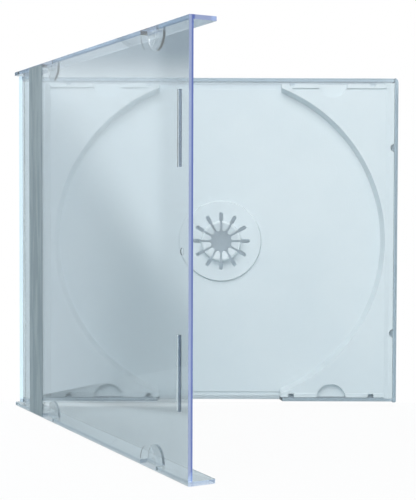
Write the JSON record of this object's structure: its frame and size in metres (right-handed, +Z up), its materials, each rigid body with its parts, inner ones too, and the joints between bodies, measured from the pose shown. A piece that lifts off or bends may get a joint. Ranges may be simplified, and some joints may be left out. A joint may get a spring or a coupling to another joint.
{
  "type": "cd jewel case",
  "caption": "Hinged clear case for a disc, with a snap-in white tray with a fingered hub, its lid standing open on pegs.",
  "frame": {"origin": "centre of the bounding box in plan, on the surface the standing case rests on", "axes": "+X from the hinge to the base's free end, +Y out of the base's back, +Z up along the hinge"},
  "size_m": [0.1424, 0.1292, 0.1244],
  "materials": {
    "clear_lid": "clear, high gloss, faint blue",
    "clear_base": "clear, high gloss, faint blue",
    "white_tray": "white, fine satin",
    "grey_tape": "plain matt tape"
  },
  "bodies": {
    "base": {"base": "clear_base", "tray": "white_tray"},
    "lid": {"lid": "clear_lid", "label_strip": "grey_tape"}
  },
  "joints": [
    {"name": "lid_hinge", "type": "hinge", "parent": "base", "child": "lid", "pos_m": [-0.0651, 0.05951, 0.0622], "axis": [0, 0, -1], "range_deg": [-61.8, 118.2]}
  ]
}
